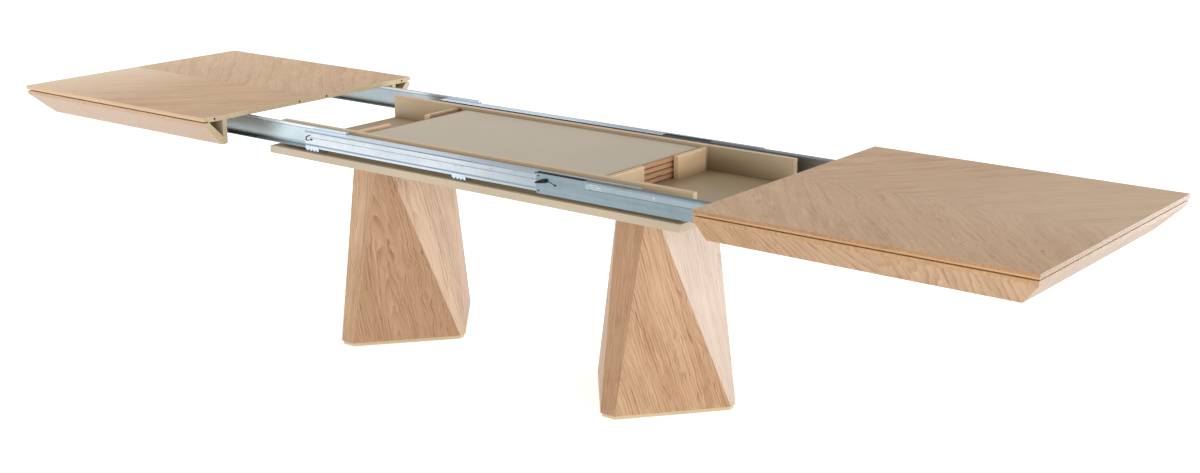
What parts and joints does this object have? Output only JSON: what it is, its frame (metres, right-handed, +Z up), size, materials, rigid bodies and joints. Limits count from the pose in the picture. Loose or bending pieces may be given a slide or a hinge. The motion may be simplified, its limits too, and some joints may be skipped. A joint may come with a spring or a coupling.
{
  "type": "draw leaf table",
  "caption": "Extending dining table on two faceted pedestals, its split top drawn apart on telescopic slides over a box of stacked leaves.",
  "frame": {"origin": "on the floor under the middle of the table", "axes": "+X along the table towards the right half of the top, +Y towards the back long side, +Z up"},
  "size_m": [4, 1, 0.771],
  "materials": {
    "oak_veneer": "matt lacquered oak veneer, book-matched at an angle",
    "beige_lacquer": "matt greige lacquer",
    "core_board": "raw fibreboard and solid wood",
    "bearer_board": "dark brown stained wood",
    "galvanised_steel": "bright galvanised sheet",
    "grey_steel": "dull grey zinc plate",
    "black_nylon": "black nylon",
    "white_nylon": "natural nylon",
    "black_spring_steel": "blackened spring steel",
    "zinc_hardware": "zinc-plated steel",
    "felt": "pressed brown felt",
    "beech_dowel": "turned beech",
    "leaf_board": "oak veneer with a greige lacquered underside"
  },
  "bodies": {
    "base": {"back_box_wall": "beige_lacquer", "back_fixed_rail": "galvanised_steel", "base_plate": "beige_lacquer", "box_dividers": "beige_lacquer", "felt_pads": "felt", "fixed_glide_pads": "white_nylon", "front_box_wall": "beige_lacquer", "front_fixed_rail": "galvanised_steel", "latch_catches": "black_spring_steel", "left_pedestal_panels": "oak_veneer", "left_plinth": "beige_lacquer", "pedestal_bolts": "zinc_hardware", "pedestal_foot_boards": "core_board", "pedestal_head_boards": "core_board", "rail_bearers": "bearer_board", "rail_clips": "galvanised_steel", "rail_stops": "black_nylon", "right_pedestal_panels": "oak_veneer", "right_plinth": "beige_lacquer", "threaded_inserts": "zinc_hardware", "wall_screws": "zinc_hardware"},
    "left_half": {"left_back_apron": "oak_veneer", "left_back_batten": "core_board", "left_back_liner": "beige_lacquer", "left_back_slide": "grey_steel", "left_end_apron": "oak_veneer", "left_end_liner": "beige_lacquer", "left_front_apron": "oak_veneer", "left_front_batten": "core_board", "left_front_liner": "beige_lacquer", "left_front_slide": "grey_steel", "left_glide_pads": "white_nylon", "left_slide_screws": "zinc_hardware", "left_top_board": "oak_veneer"},
    "right_half": {"right_back_apron": "oak_veneer", "right_back_batten": "core_board", "right_back_liner": "beige_lacquer", "right_back_slide": "grey_steel", "right_end_apron": "oak_veneer", "right_end_liner": "beige_lacquer", "right_front_apron": "oak_veneer", "right_front_batten": "core_board", "right_front_liner": "beige_lacquer", "right_front_slide": "grey_steel", "right_glide_pads": "black_nylon", "right_slide_rivets": "zinc_hardware", "right_slide_screws": "zinc_hardware", "right_top_board": "oak_veneer", "alignment_dowels": "beech_dowel", "latch_pins": "black_spring_steel"},
    "front_latch": {"front_latch_lever": "black_nylon"},
    "back_latch": {"back_latch_lever": "black_nylon"},
    "leaf_1_body": {"leaf_1": "leaf_board", "leaf_1_dowels": "beech_dowel"},
    "leaf_2_body": {"leaf_2": "leaf_board", "leaf_2_dowels": "beech_dowel"},
    "leaf_3_body": {"leaf_3": "leaf_board", "leaf_3_dowels": "beech_dowel"},
    "leaf_4_body": {"leaf_4": "leaf_board", "leaf_4_dowels": "beech_dowel"}
  },
  "joints": [
    {"name": "left_half_slide", "type": "slide", "parent": "base", "child": "left_half", "axis": [-1, 0, 0], "range_m": [-1, 0]},
    {"name": "right_half_slide", "type": "slide", "parent": "base", "child": "right_half", "axis": [1, 0, 0], "range_m": [-1, 0]},
    {"name": "front_latch_pivot", "type": "hinge", "parent": "right_half", "child": "front_latch", "pos_m": [0.366, -0.356, 0.7285], "axis": [0, 1, 0], "range_deg": [0, 36]},
    {"name": "back_latch_pivot", "type": "hinge", "parent": "right_half", "child": "back_latch", "pos_m": [0.354, 0.316, 0.7285], "axis": [0, 1, 0], "range_deg": [0, 36]},
    {"name": "leaf_1_lift", "type": "slide", "parent": "base", "child": "leaf_1_body", "axis": [0, 0, 1], "range_m": [0, 0.15]},
    {"name": "leaf_2_lift", "type": "slide", "parent": "leaf_1_body", "child": "leaf_2_body", "axis": [0, 0, 1], "range_m": [0, 0.15]},
    {"name": "leaf_3_lift", "type": "slide", "parent": "leaf_2_body", "child": "leaf_3_body", "axis": [0, 0, 1], "range_m": [0, 0.15]},
    {"name": "leaf_4_lift", "type": "slide", "parent": "leaf_3_body", "child": "leaf_4_body", "axis": [0, 0, 1], "range_m": [0, 0.15]}
  ]
}
